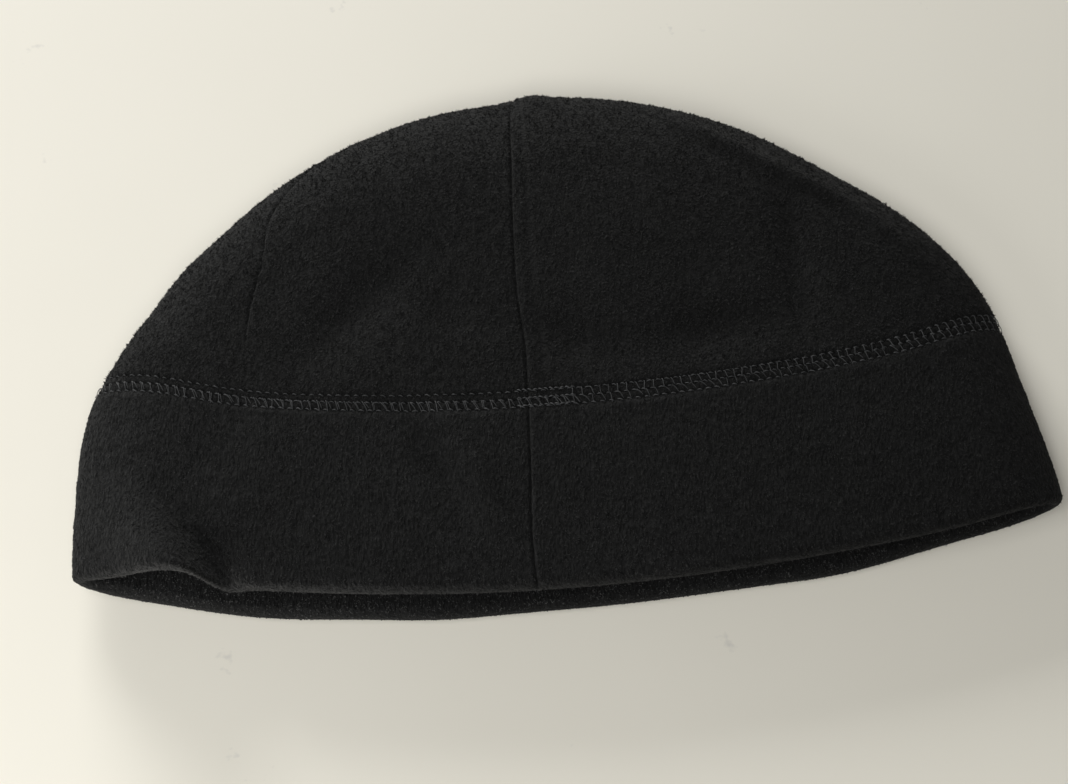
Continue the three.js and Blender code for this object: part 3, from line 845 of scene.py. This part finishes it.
def overlocked(name, locate, angle, position, depth, half_width, closed, node, seed):
    """An overlocked edge: zigzag legs on the side that faces the inside of the cap, and the two edge
    chains that hold them."""
    over, back = zigzag(half_width, 0.35)
    rows = [stitch_row(locate, angle, position, depth, closed, True, leg, THREAD, seed + i, seam_thread)
            for i, leg in enumerate((over, back))]
    for side in (-1, 1):
        chain = [(0, side * half_width, 0), (0.7, side * half_width, 0.45),
                 (PITCH - 0.7, side * half_width, 0.45), (PITCH, side * half_width, 0)]
        rows.append(stitch_row(locate, angle, position, depth, closed, True, chain, THREAD, seed + 5,
                               seam_thread))
    return sewn_together(name, rows, seam_thread, node)


SEAM_LYING = FLEECE + 0.35                   # depth of the seams' threads, on the crown's inner face
SEAM_HALF = 1.5                              # half the overlocking's width
APEX_GAP = 7.0                               # the threads end this far before the apex
PAST_ALLOWANCE = JOIN_ALLOWANCE + 1.8        # clear of the overlocking on the join's edge
EDGE_DEPTH = BAND_THICK - FLEECE / 2
DART_NAMES = ("right_back", "right_front", "front", "left_front", "left_back")


def crown_seam(name, turn, start, steps, node, seed):
    """The overlocking of one of the crown's seams, from a distance above the join to near the apex."""
    reach = meridian_length(turn)
    climbs = np.linspace(start / reach, 1 - APEX_GAP / reach, steps)
    overlocked(name, crown_point, np.full(steps, turn), climbs, SEAM_LYING, SEAM_HALF, False, node, seed)


crown_seam("back_seam_threads", SEAM_TURN, PAST_ALLOWANCE, 60, "back_seam_thread", 40)
for dart_name, turn in zip(DART_NAMES, DARTS):
    crown_seam("dart_threads_" + dart_name, turn, DART_START, 50, "dart_thread_" + dart_name, 50)
overlocked("join_edge_threads", cap_point, EVENLY, BAND_HEIGHT + JOIN_ALLOWANCE + 0.9, EDGE_DEPTH, 0.45,
           True, "join_overlock_thread", 60)
overlocked("band_seam_threads", band_point, np.full(40, SEAM_TURN), np.linspace(4, BAND_HEIGHT - 1, 40),
           FLEECE + BAND_SLOT / 2 + 0.2, 1.3, False, "band_seam_thread", 70)

# ==================================================================================================
# The coverstitch. Three needle rows of textured polyester thread over the join, with a cover thread
# that loops round the middle row and slants to the lowest one, and a looper thread that ties all
# three on the inside.
# ==================================================================================================
cover_thread = thread_finish("cover_thread", (0.022, 0.023, 0.025, 1), (0.070, 0.072, 0.075, 1))
COVER_THREAD = 0.22                          # across the cover thread
NEEDLE_THREAD = 0.28                         # across a needle thread, and where it runs over itself
DOUBLED_THREAD = 0.32
top, middle, low = COVER_ROWS
drop = middle - low
cover_rows = []


def cover_row(row, angles, shape, thread, seed, uneven=0.2, pitch=PITCH, depth=0.15):
    """Adds one row of the coverstitch, between the angles given or all the way round."""
    cover_rows.append(stitch_row(cap_point, angles, BAND_HEIGHT + row, depth, angles is EVENLY, False,
                                 shape, thread, seed, cover_thread, uneven, pitch))


def angles_from(start, end):
    """Angles in radians between two angles in degrees, half a degree apart."""
    return np.radians(np.linspace(start, end, int(abs(end - start) * 2)))


# The needle threads' short dashes, on all three rows.
dash = [(-0.72, 0.12, -0.3), (-0.35, 0.14, 0.32), (0.35, -0.1, 0.32), (0.72, -0.14, -0.3)]
for index, row in enumerate(COVER_ROWS):
    cover_row(row, EVENLY, dash, NEEDLE_THREAD, 80 + index, depth=0.2)
# To the left of the back seam, and under the cap, the cover thread slants from the middle row to the
# lowest one, double in places. To the right it pulls the other way and slants down from the top row.
slant = [(-0.45, 0.25, 0.0), (-0.1, 0.0, 0.4), (0.7, -drop + 0.6, 0.4), (0.9, -drop - 0.1, -0.15)]
beside = [(0.2, 0.1, -0.1), (0.5, -0.3, 0.3), (1.1, -drop + 0.9, 0.3), (1.4, -drop + 0.1, -0.2)]
falling = [(-0.3, 0.15, -0.1), (0.3, -0.1, 0.4), (-0.3, -top + 0.5, 0.35), (0.3, -top, -0.1)]
for index, angles in enumerate((angles_from(-94, 2), angles_from(94, 266))):
    cover_row(middle, angles, slant, COVER_THREAD, 90 + index, uneven=0.3)
    cover_row(middle, angles, beside, COVER_THREAD, 93 + index, uneven=0.3)
cover_row(top, angles_from(2, 94), falling, COVER_THREAD, 96, uneven=0.3)
cover_row(middle, angles_from(2, 94), beside, COVER_THREAD * 0.8, 98, uneven=0.4)
# Where the seam starts and ends, close to the back seam, it runs over itself.
for index, row in enumerate(COVER_ROWS):
    cover_row(row + 0.35, angles_from(-8, 2), dash, DOUBLED_THREAD, 100 + index, uneven=0.35, pitch=1.5,
              depth=0.05)
sewn_together("coverstitch_threads", cover_rows, cover_thread, "coverstitch_needle_threads")

looper_rows = []
for index, leg in enumerate(zigzag(2.6, 0.3)):
    looper_rows.append(stitch_row(cap_point, EVENLY, BAND_HEIGHT + middle, BAND_THICK + 0.4, True, True,
                                  leg, THREAD, 110 + index, seam_thread))
sewn_together("looper_threads", looper_rows, seam_thread, "coverstitch_looper_thread")

# ==================================================================================================
# The care label. A blank woven polyester ribbon folded in half, its two ends caught in the join's
# overlocking, so that it lies inside the cap over the back seam.
# ==================================================================================================
LABEL_WIDTH = 20.0
LABEL_LENGTH = 30.0                          # when folded
LABEL_PLY = 0.22
LABEL_DEPTH = 4.2                            # the depth of its upper ply under the crown's face
LABEL_FOLD = 0.45                            # outer radius of its fold
LABEL_DROOP = 0.35                           # how far its middle hangs away from the crown


def woven_finish(name, colour, shade):
    """Plain woven ribbon, with threads five to the millimetre both ways."""
    material, tree, output = new_material(name)
    at = add_node(tree, "ShaderNodeTexCoord").outputs["Object"]
    warp = add_node(tree, "ShaderNodeTexWave", {"bands_direction": "X"}, Vector=at, Scale=800.0)
    weft = add_node(tree, "ShaderNodeTexWave", {"bands_direction": "Y"}, Vector=at, Scale=800.0)
    woven = combined(tree, "MULTIPLY", warp.outputs["Fac"], weft.outputs["Fac"])
    mixed = add_node(tree, "ShaderNodeMix", {"data_type": "RGBA"}, Factor_Float=woven, A_Color=shade,
                     B_Color=colour)
    bump = add_node(tree, "ShaderNodeBump", Strength=0.5, Distance=0.0001, Height=woven)
    shader = add_node(tree, "ShaderNodeBsdfPrincipled", Base_Color=mixed.outputs[2], Roughness=0.55,
                      Normal=bump.outputs[0])
    tree.links.new(shader.outputs[0], output.inputs["Surface"])
    return material


def folded_strip(name, outer, inner, material):
    """A closed thin strip between two grids of points of the same size."""
    rows, columns = outer.shape[:2]
    second = rows * columns
    faces = [f[::-1] for f in row_faces(rows, columns, close_columns=False)]
    faces += row_faces(rows, columns, close_columns=False, first=second)
    for c in range(columns - 1):
        end = (rows - 1) * columns + c
        faces.append((c, c + 1, second + c + 1, second + c))
        faces.append((end + 1, end, second + end, second + end + 1))
    for r in range(rows - 1):
        here, after = r * columns, (r + 1) * columns
        faces.append((after, here, second + here, second + after))
        here, after = here + columns - 1, after + columns - 1
        faces.append((here, after, second + after, second + here))
    points = np.vstack([outer.reshape(-1, 3), inner.reshape(-1, 3)])
    return new_piece(name, points, faces, material)


def label_face(fold_radius):
    """The points of one face of the ribbon: along one ply, round the fold, and back along the other."""
    middle_depth = LABEL_DEPTH + LABEL_FOLD
    turn = np.linspace(0, math.pi, 9)
    straight = np.linspace(0, LABEL_LENGTH - 0.5, 16)
    ply = np.full(len(straight) - 1, fold_radius)
    along = np.concatenate([straight[:-1], straight[-1] + fold_radius * np.sin(turn), straight[-2::-1]])
    deep = middle_depth + np.concatenate([-ply, -fold_radius * np.cos(turn), ply])
    rows = []
    for distance, depth in zip(along, deep):
        wide = np.linspace(-LABEL_WIDTH / 2, LABEL_WIDTH / 2, 13)
        angle = SEAM_TURN + wide / (HALF_JOIN / (math.pi / 2))
        droop = np.sin(distance / LABEL_LENGTH * math.pi) * np.cos(wide / LABEL_WIDTH * math.pi)
        climb = (PAST_ALLOWANCE + distance) / meridian_length(angle)
        rows.append(crown_point(angle, climb, depth + LABEL_DROOP * droop))
    return np.array(rows)


label_woven = woven_finish("label_woven", (0.62, 0.61, 0.58, 1), (0.36, 0.355, 0.34, 1))
label = folded_strip("care_label_ribbon", label_face(LABEL_FOLD), label_face(LABEL_FOLD - LABEL_PLY),
                     label_woven)
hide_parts("care_label")
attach(label, "root")
